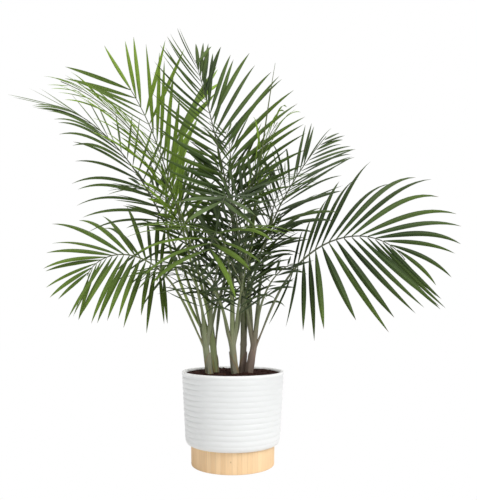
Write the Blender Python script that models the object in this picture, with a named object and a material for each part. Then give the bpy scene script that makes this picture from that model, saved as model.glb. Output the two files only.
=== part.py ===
"""A young majesty palm in a ribbed white planter on a round timber foot.

Run it with blender --background --python part.py, or from Blender's text editor.
Metres, +Z up. The origin is the middle of the timber foot's underside, and the
viewer's side of the plant is -Y. Every frond is one grown piece: a petiole that
rises from a stem, the rachis that follows on from it, and its leaflets.
"""

from collections import namedtuple
from math import cos, pi, radians, sin, tan
from random import Random

import bmesh
import bpy
import numpy as np
from mathutils.bvhtree import BVHTree

# ---------------------------------------------------------------- driving dimensions
GAP = 0.0003  # between pieces that touch
TURNED_SIDES = 40  # facets round a turned piece

RIM_HEIGHT = 0.2255
RIM_RADIUS = 0.1285
RIM_WIDTH = 0.0105
SHELL_FOOT_RADIUS = 0.1172
SHELL_WALL = 0.007
SHELL_FLOOR = 0.008
SHELL_EDGE = 0.012  # rounding where the wall meets the floor
RIB_COUNT = 12
RIB_DEPTH = 0.0012
RIB_TOP_BAND = 0.0105  # plain band under the rim
RIB_FOOT_BAND = 0.0140  # plain band above the timber

TIMBER_HEIGHT = 0.0500
TIMBER_TOP_RADIUS = 0.1036
TIMBER_FOOT_RADIUS = 0.1024
TIMBER_WALL = 0.012
TIMBER_FLOOR = 0.014
TIMBER_EDGE = 0.0015

SOIL_DROP = 0.0070  # soil surface below the rim
STEM_DEPTH = 0.034  # length of a stem that is buried
STEM_SIDES = 12
PETIOLE_RADIUS = 0.0034
RACHIS_TIP_RADIUS = 0.0008
SEAT_RADIUS = 0.0070  # circle that the petioles stand on, at a stem's top

LEAFLET_WIDTH = 0.0150
LEAFLET_RIDGE = 0.0012  # height of the fold along a leaflet's middle
LEAFLET_FOOT = 0.0022  # half the length of a leaflet's seat on the rachis
WIDEST = 0.38  # where a leaflet is widest, as a share of its length
CLEARANCE = 0.0010  # kept round each leaflet
MOST_LIFT = 25  # a blade lifted further has the ridge of its rachis on top

SOIL_HEIGHT = RIM_HEIGHT - SOIL_DROP

# Each stem: where it leaves the soil (x, y), where its sheaths end (x, y, z), and
# its radius at the soil and at the top.
Stem = namedtuple("Stem", "foot top foot_radius top_radius")
STEMS = {
    "stem_left_front": Stem((-0.058, -0.018), (-0.068, -0.020, 0.290), 0.0090, 0.0103),
    "stem_left_back": Stem((-0.044, 0.010), (-0.051, 0.012, 0.289), 0.0092, 0.0105),
    "stem_middle": Stem((0.007, -0.018), (-0.001, -0.022, 0.291), 0.0095, 0.0106),
    "stem_right_back": Stem((0.024, 0.010), (0.027, 0.012, 0.289), 0.0095, 0.0104),
    "stem_right_front": Stem((0.040, -0.010), (0.053, -0.012, 0.290), 0.0090, 0.0103),
}

# Each frond, in metres and degrees. heading is the compass direction it leaves in
# (0 is +X, 90 is +Y) and sweep how far that turns by the tip; rise is its first
# slope, bend how much slope it has lost at the tip, and late how near the tip the
# bend happens. bare is the share of length without leaflets. roll and twist turn
# the blade about the rachis. leaflet is the longest leaflet's length, and width its
# width as a share of a middling one's. right and left give each side's leaflet angle
# from the rachis at the first and the last pair, and curve how near the tip that
# changes. lift raises the leaflets from the blade's plane, fall pulls them down and
# droop bends their tips. edge turns a side's leaflets edge-on, ends gives the first
# and the last leaflet's share of the longest, and wild is how untidy the frond is.
Frond = namedtuple(
    "Frond",
    "stem heading rise bend late sweep length bare roll twist pairs leaflet width "
    "right left lift fall droop edge curve ends wild",
    defaults=(1,),
)
FRONDS = {
    "frond_right_arch": Frond("stem_right_front", -31, 68, 126, 2.1, 33, 0.53, 0.38, -5, -74, 17, 0.315, 1.10,
                              (126, -5), (55, 8), 3, -0.06, (-4, 32), (0, 0), 1.3, (0.57, 0.21), 0.6),
    "frond_left_arch": Frond("stem_left_front", 190, 67, 138, 2.5, -2, 0.43, 0.46, 28, 24, 16, 0.232, 0.95,
                             (65, 40), (125, 20), 10, 0.22, (26, 20), (0, 0), 0.95, (0.60, 0.42)),
    "frond_top": Frond("stem_right_back", 182, 101, 30, 0.4, -44, 0.82, 0.42, 87, -92, 23, 0.301, 0.95,
                       (50, 12), (52, 50), 37, 0.63, (15, -10), (0, 0), 0.48, (0.61, 0.41), 0.35),
    "frond_top_left": Frond("stem_left_back", 159, 75, 19, 3.8, 17, 0.76, 0.40, 72, -56, 16, 0.246, 0.95,
                       (27, 28), (37, 14), 70, 0.88, (-4, 8), (0, 0), 0.84, (0.30, 0.70), 0.15),
    "frond_far_left": Frond("stem_left_front", 120, 66, 74, 4.4, 115, 0.80, 0.29, -95, -67, 23, 0.235, 0.58,
                            (139, 8), (40, 52), -18, 0.30, (30, 1), (40, 0), 0.35, (0.68, 0.53), 0.6),
    "frond_right": Frond("stem_right_back", -9, 93, 43, 0.76, 19, 0.61, 0.34, -14, -60, 22, 0.195, 0.85,
                       (45, 10), (55, 3), 11, 0.28, (17, 32), (10, 45), 1.7, (0.61, 0.20), 1.6),
    "frond_young_left": Frond("stem_left_back", 205, 77, 70, 2.3, 11, 0.78, 0.36, 140, -36, 16, 0.202, 0.55,
                              (24, 20), (22, 27), 74, 0.14, (21, 18), (0, 0), 1, (0.79, 0.24)),
    "frond_young_right": Frond("stem_right_back", 42, 90, 33, 2.6, -33, 0.62, 0.32, -65, -16, 15, 0.140, 0.70,
                               (22, 22), (22, 30), 70, 0.15, (34, 40), (0, 0), 1, (0.62, 0.53)),
    "frond_young_top": Frond("stem_left_back", 155, 57, -88, 1.3, 108, 0.86, 0.36, 11, 19, 17, 0.195, 0.75,
                       (34, 16), (28, 5), 60, -0.20, (-6, -10), (0, 0), 1, (0.62, 0.90), 0.5),
    "frond_front": Frond("stem_middle", 258, 90, 154, 1.8, 3, 0.46, 0.72, 1, 2, 7, 0.196, 0.90,
                         (85, 34), (84, 19), 1, -0.30, (39, 36), (0, 0), 1, (0.62, 0.75)),
    "frond_front_low": Frond("stem_middle", 216, 80, 120, 1.8, 0, 0.34, 0.66, 0, 0, 8, 0.100, 0.75,
                             (75, 25), (85, 25), 5, 0.0, (25, 25), (0, 0), 1, (0.80, 0.80), 1.8),
    "frond_front_high": Frond("stem_right_back", 262, 92, 130, 1.6, 0, 0.56, 0.74, 5, 0, 6, 0.130, 1.15,
                              (85, 30), (75, 30), 10, 0.05, (20, 20), (0, 0), 1, (0.85, 0.80), 1.4),
    "frond_low_right": Frond("stem_right_front", 300, 80, 70, 1.6, 10, 0.26, 0.36, 20, 0, 7, 0.090, 0.45,
                             (65, 25), (65, 25), 5, 0.06, (22, 22), (30, 30), 1, (0.80, 0.60), 3.2),
    "frond_low_left": Frond("stem_left_front", 258, 80, 90, 1.6, -10, 0.28, 0.34, -10, 0, 10, 0.110, 0.50,
                            (70, 28), (70, 28), 5, 0.06, (24, 24), (25, 25), 1, (0.90, 0.60), 3.2),
    "frond_inner_left": Frond("stem_left_front", 325, 84, 38, 2.0, 15, 0.46, 0.30, 50, -10, 16, 0.125, 0.60,
                              (56, 28), (54, 26), 5, 0.05, (22, 22), (20, -10), 1, (0.75, 0.55), 2.6),
    "frond_inner_right": Frond("stem_right_front", 148, 88, 34, 2.0, 0, 0.50, 0.30, 58, 10, 16, 0.160, 0.60,
                               (55, 26), (55, 26), 5, 0.05, (22, 22), (-10, 20), 1, (0.75, 0.55), 2.6),
    "frond_back_right": Frond("stem_right_front", 62, 80, 56, 1.6, 10, 0.64, 0.40, -25, -10, 16, 0.165, 0.60,
                              (58, 22), (58, 22), 30, 0.10, (16, 16), (0, 0), 1, (0.70, 0.45), 1.8),
    "frond_back": Frond("stem_middle", 88, 86, 50, 1.8, 10, 0.72, 0.36, 5, 10, 21, 0.190, 0.75,
                        (52, 20), (52, 20), 18, 0.08, (16, 16), (0, 0), 1, (0.70, 0.45), 1.8),
    "frond_back_left": Frond("stem_left_back", 132, 78, 66, 1.8, 10, 0.62, 0.36, 30, 10, 17, 0.190, 0.75,
                             (58, 24), (58, 24), 26, 0.10, (16, 16), (0, 0), 1, (0.70, 0.45), 1.8),
    "frond_back_low": Frond("stem_left_back", 72, 78, 84, 1.8, -20, 0.48, 0.36, -15, -10, 14, 0.170, 0.70,
                            (60, 26), (60, 26), 25, 0.10, (18, 18), (0, 0), 1, (0.75, 0.50), 2.2),
    "frond_nest_front": Frond("stem_middle", 300, 82, 55, 1.5, -20, 0.27, 0.26, 25, 0, 11, 0.100, 0.42,
                              (60, 30), (60, 30), 5, 0.03, (26, 26), (20, 10), 1, (0.85, 0.65), 3.4),
    "frond_nest_middle": Frond("stem_middle", 180, 80, 40, 1.6, 20, 0.32, 0.26, 80, 10, 12, 0.115, 0.45,
                               (55, 28), (55, 28), 5, 0.03, (24, 24), (10, 20), 1, (0.85, 0.60), 3.4),
    "frond_nest_right": Frond("stem_right_front", 225, 82, 50, 1.6, -20, 0.33, 0.26, -40, 0, 9, 0.100, 0.45,
                              (60, 28), (60, 28), 5, 0.03, (26, 26), (20, 10), 1, (0.85, 0.60), 3.4),
    "frond_nest_left": Frond("stem_left_front", 15, 80, 45, 1.6, 20, 0.34, 0.26, -70, 0, 12, 0.115, 0.45,
                             (58, 28), (58, 28), 5, 0.03, (26, 26), (10, 20), 1, (0.85, 0.60), 3.4),
    "frond_nest_back": Frond("stem_middle", 25, 80, 46, 1.6, 30, 0.38, 0.28, -50, 0, 13, 0.125, 0.50,
                             (55, 26), (55, 26), 6, 0.03, (22, 22), (0, 0), 1, (0.85, 0.55), 3.0),
}

# The unopened leaf has a line as a frond has, and no leaflets.
SPEAR = Frond("stem_right_back", 10, 86, 6, 1.2, 0, 0.78, 1, 0, 0, 0, 0, 0,
              (0, 0), (0, 0), 0, 0, (0, 0), (0, 0), 1, (1, 1))
SPEAR_RADIUS = 0.0032
SPEAR_FOOT_RADIUS = 0.0020

# How far each leaflet strays from the rule: in the blade, out of it (degrees), in
# droop and in length (shares).
STRAY = (5, 9, 0.45, 0.08)

# Tries for a leaflet whose place is taken: turned in the blade, lifted, and shortened.
TRIES = [(0, 0, 1.0), (5, 0, 1.0), (-5, 0, 1.0), (0, 9, 1.0), (0, -9, 1.0), (8, 9, 0.9),
         (-8, -9, 0.9), (8, -12, 0.85), (-8, 12, 0.85), (0, 18, 0.9), (0, -18, 0.9),
         (4, 32, 0.9), (4, -32, 0.9), (6, 50, 0.85), (6, -50, 0.85), (12, 0, 0.65),
         (-12, 0, 0.65), (0, 0, 0.45)]


# ---------------------------------------------------------------- small helpers
def unit(vectors):
    """The vectors at length 1."""
    return vectors / np.linalg.norm(vectors, axis=-1, keepdims=True)


def material(name, color, roughness, metallic=0.0):
    made = bpy.data.materials.new(name)
    made.use_nodes = True
    made.diffuse_color = color
    shader = made.node_tree.nodes["Principled BSDF"]
    shader.inputs["Base Color"].default_value = color
    shader.inputs["Roughness"].default_value = roughness
    shader.inputs["Metallic"].default_value = metallic
    return made


def add_object(name, mesh, finish):
    made = bpy.data.objects.new(name, mesh)
    bpy.context.scene.collection.objects.link(made)
    if finish:
        mesh.materials.append(finish)
    return made


def closed_mesh(name, points, faces):
    """A mesh from points and the faces of one closed surface, turned outwards."""
    mesh = bpy.data.meshes.new(name)
    mesh.from_pydata([tuple(map(float, point)) for point in points], [], faces)
    work = bmesh.new()
    work.from_mesh(mesh)
    bmesh.ops.recalc_face_normals(work, faces=work.faces)
    if work.calc_volume(signed=True) < 0:
        bmesh.ops.reverse_faces(work, faces=work.faces)
    work.to_mesh(mesh)
    work.free()
    return mesh


def turned(name, profile, finish):
    """A solid turned about Z from a profile of (radius, height) points, which runs
    round the section and may start and end on the axis."""
    work = bmesh.new()
    points = [work.verts.new((radius, 0, height)) for radius, height in profile]
    edges = [work.edges.new(pair) for pair in zip(points, points[1:])]
    bmesh.ops.spin(
        work,
        geom=points + edges,
        cent=(0, 0, 0),
        axis=(0, 0, 1),
        angle=2 * pi,
        steps=TURNED_SIDES,
        use_merge=True,
    )
    bmesh.ops.remove_doubles(work, verts=work.verts, dist=1e-6)
    bmesh.ops.recalc_face_normals(work, faces=work.faces)
    mesh = bpy.data.meshes.new(name)
    work.to_mesh(mesh)
    work.free()
    mesh.shade_smooth()
    mesh.set_sharp_from_angle(angle=radians(40))
    return add_object(name, mesh, finish)


# ---------------------------------------------------------------- planter and soil
def shell_radius(height):
    """The planter's outer radius, which grows straight from its foot to its rim."""
    share = (height - TIMBER_HEIGHT) / (RIM_HEIGHT - TIMBER_HEIGHT)
    return SHELL_FOOT_RADIUS + (RIM_RADIUS - SHELL_FOOT_RADIUS) * share


def inner_radius(height):
    """The planter's inner radius: the rim's width at the top, a thinner wall below."""
    floor_top = TIMBER_HEIGHT + GAP + SHELL_FLOOR
    low = shell_radius(floor_top) - SHELL_WALL
    high = RIM_RADIUS - RIM_WIDTH
    return low + (high - low) * (height - floor_top) / (RIM_HEIGHT - floor_top)


def add_planter():
    bottom = TIMBER_HEIGHT + GAP
    floor_top = bottom + SHELL_FLOOR
    profile = [(0, bottom), (SHELL_FOOT_RADIUS - SHELL_EDGE, bottom)]
    profile.append((SHELL_FOOT_RADIUS - 0.29 * SHELL_EDGE, bottom + 0.29 * SHELL_EDGE))
    profile.append((shell_radius(bottom + SHELL_EDGE), bottom + SHELL_EDGE))
    first = TIMBER_HEIGHT + RIB_FOOT_BAND
    pitch = (RIM_HEIGHT - RIB_TOP_BAND - first) / RIB_COUNT
    for rib in range(RIB_COUNT):
        crease = first + rib * pitch
        crest = crease + pitch / 2
        profile.append((shell_radius(crease) - RIB_DEPTH, crease))
        profile.append((shell_radius(crest), crest))
    top = RIM_HEIGHT - RIB_TOP_BAND
    profile.append((shell_radius(top) - RIB_DEPTH, top))
    profile.append((shell_radius(top + RIB_DEPTH), top + RIB_DEPTH))
    profile.append((RIM_RADIUS, RIM_HEIGHT - 0.002))
    profile.append((RIM_RADIUS - 0.002, RIM_HEIGHT))
    profile.append((RIM_RADIUS - RIM_WIDTH, RIM_HEIGHT))
    profile.append((inner_radius(floor_top), floor_top))
    profile.append((0, floor_top))
    turned("planter_body", profile, material("white_shell", (0.83, 0.84, 0.84, 1), 0.45))


def add_timber():
    inner = TIMBER_TOP_RADIUS - TIMBER_WALL
    profile = [
        (0, 0),
        (TIMBER_FOOT_RADIUS - TIMBER_EDGE, 0),
        (TIMBER_FOOT_RADIUS, TIMBER_EDGE),
        (TIMBER_TOP_RADIUS, TIMBER_HEIGHT - TIMBER_EDGE),
        (TIMBER_TOP_RADIUS - TIMBER_EDGE, TIMBER_HEIGHT),
        (inner, TIMBER_HEIGHT),
        (inner, TIMBER_FLOOR),
        (0, TIMBER_FLOOR),
    ]
    turned("wooden_base", profile, material("pale_timber", (0.78, 0.60, 0.38, 1), 0.6))


def add_soil():
    """The soil: a plug that fills the planter, with a pocket for each stem's foot."""
    low = TIMBER_HEIGHT + 2 * GAP + SHELL_FLOOR
    profile = [
        (0, low),
        (inner_radius(low) - GAP, low),
        (inner_radius(SOIL_HEIGHT) - GAP, SOIL_HEIGHT),
        (0, SOIL_HEIGHT),
    ]
    soil = turned("soil", profile, material("peat", (0.035, 0.016, 0.012, 1), 0.95))
    for name in STEMS:
        cutter = add_object(name + "_pocket", stem_mesh(name, GAP), None)
        cutter.hide_render = True
        cutter.display_type = "WIRE"
        cut = soil.modifiers.new(name + "_pocket", "BOOLEAN")
        cut.operation = "DIFFERENCE"
        cut.object = cutter


# ---------------------------------------------------------------- stems
def stem_axis(stem):
    """A stem's foot, top and direction: straight, from below the soil to its top."""
    soil_point = np.array([*stem.foot, SOIL_HEIGHT])
    top = np.array(stem.top)
    direction = unit(top - soil_point)
    return soil_point - STEM_DEPTH * direction, top, direction


def across(direction):
    """Two unit vectors square to a direction, the first of them level."""
    level = unit(np.cross(direction, [0, 0, 1.0]) + np.array([1e-9, 0, 0]))
    return level, np.cross(level, direction)


def stem_mesh(name, spare=0.0):
    """A stem: round rings along its axis, from a narrow foot to a flat top. spare
    makes it larger all round, for its pocket in the soil."""
    stem = STEMS[name]
    foot, top, direction = stem_axis(stem)
    length = np.linalg.norm(top - foot)
    buried = STEM_DEPTH / length
    stops = [(0, 0.8 * stem.foot_radius), (buried, stem.foot_radius),
             ((1 + buried) / 2, 0.97 * stem.top_radius), (1, stem.top_radius)]
    side, front = across(direction)
    angles = np.arange(STEM_SIDES) * 2 * pi / STEM_SIDES
    circle = np.outer(np.cos(angles), side) + np.outer(np.sin(angles), front)
    points, faces = [], []
    for share, radius in stops:
        end = -spare if share == 0 else 0.0
        points.extend(foot + direction * (length * share + end) + circle * (radius + spare))
    for ring in range(len(stops) - 1):
        for step in range(STEM_SIDES):
            a = ring * STEM_SIDES + step
            b = ring * STEM_SIDES + (step + 1) % STEM_SIDES
            faces.append((a, b, b + STEM_SIDES, a + STEM_SIDES))
    faces.append(tuple(range(STEM_SIDES)))
    faces.append(tuple(range(len(points) - STEM_SIDES, len(points))))
    return closed_mesh(name, points, faces)


def seats():
    """Where each frond and the spear leave their stem: {name: (point, direction)}.
    The fronds stand evenly round the stem's top, each as near its own heading as it
    can, and the spear stands in the middle."""
    found = {}
    for stem_name, stem in STEMS.items():
        _, top, direction = stem_axis(stem)
        held = {n: f.heading for n, f in FRONDS.items() if f.stem == stem_name}
        order = sorted(held, key=held.get)
        step = 2 * pi / len(order)
        lean = [radians(held[name]) - step * k for k, name in enumerate(order)]
        start = float(np.angle(np.mean(np.exp(1j * np.array(lean)))))
        level = np.array([[1.0, 0, 0], [0, 1.0, 0]])
        level = unit(level - np.outer(level @ direction, direction))
        for k, name in enumerate(order):
            angle = start + step * k
            offset = cos(angle) * level[0] + sin(angle) * level[1]
            found[name] = (top + SEAT_RADIUS * offset + GAP * direction, direction)
        if SPEAR.stem == stem_name:
            found["spear"] = (top + GAP * direction, direction)
    return found


# ---------------------------------------------------------------- fronds
def rachis(frond, foot, samples=49):
    """The line of a frond from its foot: shares of its length, points, directions,
    and the blade's sideways and upward vectors. The slope falls from rise by bend
    times share to the power late, while the heading turns by sweep."""
    share = np.linspace(0, 1, samples)
    slope = np.radians(frond.rise - frond.bend * share**frond.late)
    compass = np.radians(frond.heading + frond.sweep * share)
    ahead = np.stack([np.cos(slope) * np.cos(compass), np.cos(slope) * np.sin(compass),
                      np.sin(slope)], axis=1)
    steps = (ahead[1:] + ahead[:-1]) / 2 * frond.length / (samples - 1)
    points = np.vstack([np.zeros(3), np.cumsum(steps, axis=0)]) + foot
    side = np.stack([np.sin(compass), -np.cos(compass), 0 * compass], axis=1)
    up = np.cross(side, ahead)
    turn = np.radians(frond.roll + frond.twist * share)[:, None]
    return share, points, ahead, side * np.cos(turn) + up * np.sin(turn), \
        up * np.cos(turn) - side * np.sin(turn)


def at(line, share):
    """The point and the three directions of a rachis at a share of its length."""
    shares, *rows = line
    found = [np.array([np.interp(share, shares, row[:, k]) for k in range(3)]) for row in rows]
    return found[0], unit(found[1]), unit(found[2]), unit(found[3])


def rachis_radius(frond, share):
    """Half the thickness: full at the foot, slim and even along the leaflets."""
    return RACHIS_TIP_RADIUS + (PETIOLE_RADIUS - RACHIS_TIP_RADIUS) * (1 - share) ** 1.2


def leaflet_share(frond, place):
    """A leaflet's length along the blade: shorter at both ends of it."""
    first, last = frond.ends
    if place < 0.35:
        return first + (1 - first) * sin(place / 0.35 * pi / 2)
    return 1 - (1 - last) * ((place - 0.35) / 0.65) ** 1.8


def pair_places(frond):
    """Where the pairs sit along the leafy part, from 0 to 1."""
    return (np.arange(frond.pairs) + 0.4) / frond.pairs


def stray(name, pair, sign):
    """Four numbers that make this leaflet differ from its neighbours."""
    chance = Random(f"{name} {pair} {sign}")
    return [most * FRONDS[name].wild * chance.uniform(-1, 1) for most in STRAY]


def leaflet_line(frond, line, place, sign, own, attempt, samples=9):
    """The middle line of one leaflet, with its widthways and upward vectors. It leaves
    the rachis at its side's angle, pulled down by fall, and its tip droops. own holds
    its stray numbers and attempt the changes that find it room."""
    turn, lift, shorter = attempt[0] + own[0], attempt[1] + own[1], attempt[2] * (1 + own[3])
    point, ahead, side, up = at(line, frond.bare + (1 - frond.bare) * place)
    first, last = frond.right if sign > 0 else frond.left
    angle = radians(first + (last - first) * place**frond.curve + turn)
    raised = radians(frond.lift + lift)
    out = sign * side * cos(raised) + up * sin(raised)
    normal = sign * np.cross(out, ahead)
    start = unit(cos(angle) * ahead + sin(angle) * out - np.array([0, 0, frond.fall]))
    share = np.linspace(0, 1, samples)[:, None]
    droop = radians(frond.droop[0 if sign > 0 else 1] * (1 + own[2]))
    course = unit(start - share**2.2 * tan(droop) * np.array([0, 0, 1.0]))
    length = frond.leaflet * leaflet_share(frond, place) * shorter
    steps = (course[1:] + course[:-1]) / 2 * length / (samples - 1)
    points = np.vstack([np.zeros(3), np.cumsum(steps, axis=0)])
    points += point + sign * side * rachis_radius(frond, frond.bare)
    wide = unit(np.cross(course, normal))
    tall = np.cross(wide, course)
    edge = radians(frond.edge[0] if sign > 0 else frond.edge[1])
    return points, wide * cos(edge) + tall * sin(edge), tall * cos(edge) - wide * sin(edge)


def blade_section(frond, leaf, share, spare=0.0):
    """Three points across a leaflet at a share of its length: its two edges and the
    fold between them."""
    points, wide, tall = leaf
    where = share * (len(points) - 1)
    low = min(int(where), len(points) - 2)
    part = where - low
    middle = points[low] * (1 - part) + points[low + 1] * part
    widest = LEAFLET_WIDTH / 2 * frond.width
    half = widest * min(share / WIDEST, (1 - share) / (1 - WIDEST), 1.0) ** 0.8 + spare
    return [middle - wide[low] * half - tall[low] * spare,
            middle + tall[low] * (LEAFLET_RIDGE + spare),
            middle + wide[low] * half - tall[low] * spare]


SECTION_SIDES = [(0, 1), (1, 2), (2, 0)]


def prism_faces(sections):
    """Faces of a closed prism through triangular sections, as indices."""
    faces = [(0, 2, 1), tuple(3 * (sections - 1) + k for k in range(3))]
    for step in range(sections - 1):
        base = 3 * step
        for a, b in SECTION_SIDES:
            faces.append((base + a, base + b, base + 3 + b, base + 3 + a))
    return faces


def guard(frond, leaf):
    """The room a leaflet takes: slightly swollen copies of its blade, from just off
    the rachis to its tip, as points and faces. One follows its curve, and one goes
    straight from the widest place to the tip, as the solid does."""
    points, faces = [], []
    for stops in ((0.03, WIDEST, 0.7, 1.0), (0.03, WIDEST, 1.0)):
        faces += [tuple(i + len(points) for i in face) for face in prism_faces(len(stops))]
        for share in stops:
            points.extend(blade_section(frond, leaf, share, CLEARANCE))
    return points, faces


def tree_of(points, faces):
    return BVHTree.FromPolygons([tuple(map(float, p)) for p in points], faces)


def stalk_sections(frond, line, seat, extra=0.0):
    """Triangular rings along the petiole and the rachis, each with its right, left and
    ridge. Each pair of leaflets sits on the short stretch between two rings; the first
    ring lies flat on the stem."""
    point, direction = seat
    ridge = 1 if frond.lift > MOST_LIFT else -1
    stops = list(np.linspace(0, frond.bare, 7))
    for place in pair_places(frond):
        middle = frond.bare + (1 - frond.bare) * place
        stops += [middle - LEAFLET_FOOT / frond.length, middle + LEAFLET_FOOT / frond.length]
    stops.append(1.0)
    rings = []
    for share in stops:
        middle, ahead, side, up = at(line, share)
        radius = rachis_radius(frond, share) + extra
        if share == 0:
            side = unit(side - (side @ direction) * direction)
            up = np.cross(side, direction)
        rings.append([middle + side * radius, middle - side * radius,
                      middle + ridge * up * radius])
    return rings


def stalk_guard(frond, line, seat):
    rings = stalk_sections(frond, line, seat, CLEARANCE / 2)
    return [p for ring in rings for p in ring], prism_faces(len(rings))


def leaflet_faces(root, first):
    """The faces of a leaflet drawn out of one side of the rachis. root has that side's
    corners: its upper edge's two, then its lower edge's. first is the first of the
    leaflet's own points, which go across its widest place and end with its tip."""
    high, far_high, low, far_low = root
    back, ridge, front, tip = range(first, first + 4)
    return [(high, far_high, ridge), (high, ridge, back), (far_high, front, ridge),
            (low, high, back), (far_low, front, far_high), (low, back, front),
            (low, front, far_low), (back, ridge, tip), (ridge, front, tip),
            (front, back, tip)]


def cuts(new, new_tree, old, old_tree):
    """Whether a new face cuts an old one that it has no corner in common with."""
    return any(not set(new[a]) & set(old[b]) for a, b in new_tree.overlap(old_tree))


def grow(name, line, seat, others):
    """One frond as a single closed body: its points, its faces, and the guards of its
    leaflets. The stalk is triangular rings joined up, and each leaflet is drawn out of
    the side between its pair's two rings, as near its place as it finds room between
    its neighbours and the others' trees. One that finds none is left out."""
    frond = FRONDS[name]
    rings = stalk_sections(frond, line, seat)
    points = [p for ring in rings for p in ring]
    faces = {"foot": [(0, 2, 1)], "tip": [tuple(len(points) - 3 + k for k in range(3))]}
    for step in range(len(rings) - 1):
        for a, b in SECTION_SIDES:
            faces[step, a] = [tuple(3 * step + k for k in (a, b, 3 + b, 3 + a))]
    guard_points, guard_faces = [], []
    for pair, place in enumerate(pair_places(frond)):
        step = len(rings) - 1 - 2 * (frond.pairs - pair)
        for sign, side, corner in ((1, 2, 0), (-1, 1, 1)):
            root = [3 * step + corner, 3 * step + 3 + corner, 3 * step + 2, 3 * step + 5]
            if frond.lift > MOST_LIFT:
                root = root[2:] + root[:2]
            near = others + ([tree_of(guard_points, guard_faces)] if guard_points else [])
            own = [f for key, kept in faces.items() if key != (step, side) for f in kept]
            own_tree = tree_of(points, own)
            new = leaflet_faces(root, len(points))
            for attempt in TRIES:
                leaf = leaflet_line(frond, line, place, sign, stray(name, pair, sign), attempt)
                room = guard(frond, leaf)
                tree = tree_of(*room)
                if any(tree.overlap(other) for other in near):
                    continue
                across_it = blade_section(frond, leaf, WIDEST)[::-sign]
                more = points + across_it + [leaf[0][-1]]
                tree = tree_of(more, new)
                if any(tree.overlap(other) for other in others):
                    continue
                if cuts(new, tree, own, own_tree) or cuts(new, tree, new, tree):
                    continue
                points, faces[step, side] = more, new
                guard_faces += [tuple(i + len(guard_points) for i in f) for f in room[1]]
                guard_points += room[0]
                break
    return points, [f for kept in faces.values() for f in kept], (guard_points, guard_faces)


def crossings(stalks):
    """The pairs of stalks that cut into each other."""
    names = sorted(stalks)
    pairs = [(a, b) for k, a in enumerate(names) for b in names[k + 1:]]
    return [(a, b) for a, b in pairs if stalks[a].overlap(stalks[b])]


def add_fronds():
    finish = material("leaf_green", (0.050, 0.120, 0.030, 1), 0.5)
    young = material("young_leaf", (0.130, 0.270, 0.040, 1), 0.5)
    found = seats()
    lines = {name: rachis(frond, found[name][0]) for name, frond in FRONDS.items()}
    stalks = {n: tree_of(*stalk_guard(f, lines[n], found[n])) for n, f in FRONDS.items()}
    spear = add_spear(found["spear"], young)
    stalks["spear"] = tree_of([v.co for v in spear.data.vertices],
                              [tuple(p.vertices) for p in spear.data.polygons])
    crossed = crossings(stalks)
    if crossed:
        raise ValueError(f"these stalks cross: {crossed}")
    taken = []
    for name in FRONDS:
        others = [stalks[other] for other in stalks if other != name] + taken
        points, faces, guards = grow(name, lines[name], found[name], others)
        taken += [tree_of(points, faces), tree_of(*guards)]
        add_object(name, closed_mesh(name, points, faces), young if "young" in name else finish)


def add_spear(seat, finish):
    """The unopened leaf: a slim round rod that tapers to a point."""
    line = rachis(SPEAR, seat[0])
    sides = 6
    angles = np.arange(sides) * 2 * pi / sides
    points, faces = [], []
    stops = np.linspace(0, 0.985, 12)
    for share in stops:
        middle, ahead, side, up = at(line, share)
        if share == 0:
            side = unit(side - (side @ seat[1]) * seat[1])
            up = np.cross(side, seat[1])
        radius = SPEAR_RADIUS * (1 - share**2.5) + 0.0004
        radius = min(radius, SPEAR_FOOT_RADIUS + share * 0.01)
        points.extend(middle + np.outer(np.cos(angles), side) * radius
                      + np.outer(np.sin(angles), up) * radius)
    for ring in range(len(stops) - 1):
        for step in range(sides):
            a = ring * sides + step
            b = ring * sides + (step + 1) % sides
            faces.append((a, b, b + sides, a + sides))
    faces.append(tuple(range(sides)))
    faces.append(tuple(range(len(points) - sides, len(points))))
    return add_object("spear_leaf", closed_mesh("spear_leaf", points, faces), finish)


def main():
    for old in list(bpy.data.objects):
        bpy.data.objects.remove(old)
    add_planter()
    add_timber()
    add_soil()
    sheath = material("leaf_sheath", (0.28, 0.27, 0.17, 1), 0.6)
    for name in STEMS:
        add_object(name, stem_mesh(name), sheath)
    add_fronds()


if __name__ == "__main__":
    main()
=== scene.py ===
"""A young majesty palm in a ribbed white planter on a round timber foot: its looks.

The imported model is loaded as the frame, in metres with +Z up. Each piece made here
stands for one of its nodes, and takes its place and its sizes from that node or from
the same named values that the node was grown from.
"""

from collections import namedtuple
from math import cos, pi, radians, sin, tan
from random import Random

import bpy
import numpy as np
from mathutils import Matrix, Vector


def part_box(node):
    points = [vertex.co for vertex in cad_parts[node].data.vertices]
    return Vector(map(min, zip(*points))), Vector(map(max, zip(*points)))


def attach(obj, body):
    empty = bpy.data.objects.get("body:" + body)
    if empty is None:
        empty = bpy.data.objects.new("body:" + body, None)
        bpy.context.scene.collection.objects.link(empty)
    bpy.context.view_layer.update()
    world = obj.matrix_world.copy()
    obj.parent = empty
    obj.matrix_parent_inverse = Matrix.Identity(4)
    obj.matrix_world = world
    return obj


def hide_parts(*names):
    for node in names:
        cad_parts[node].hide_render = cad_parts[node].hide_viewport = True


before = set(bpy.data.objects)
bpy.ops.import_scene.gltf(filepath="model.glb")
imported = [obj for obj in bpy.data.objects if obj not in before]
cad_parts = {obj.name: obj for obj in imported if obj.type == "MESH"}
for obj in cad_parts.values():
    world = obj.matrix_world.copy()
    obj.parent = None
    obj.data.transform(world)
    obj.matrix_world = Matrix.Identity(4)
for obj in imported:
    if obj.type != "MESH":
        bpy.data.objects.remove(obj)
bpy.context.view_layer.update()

bl_info = {
    "name": "Potted majesty palm",
    "version": (1, 0, 0),
    "blender": (4, 5, 0),
    "location": "3D View > Sidebar > Palm",
    "description": "Finishes a potted palm: its planter, its soil, its stems and its fronds",
    "category": "Add Mesh",
}

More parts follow.
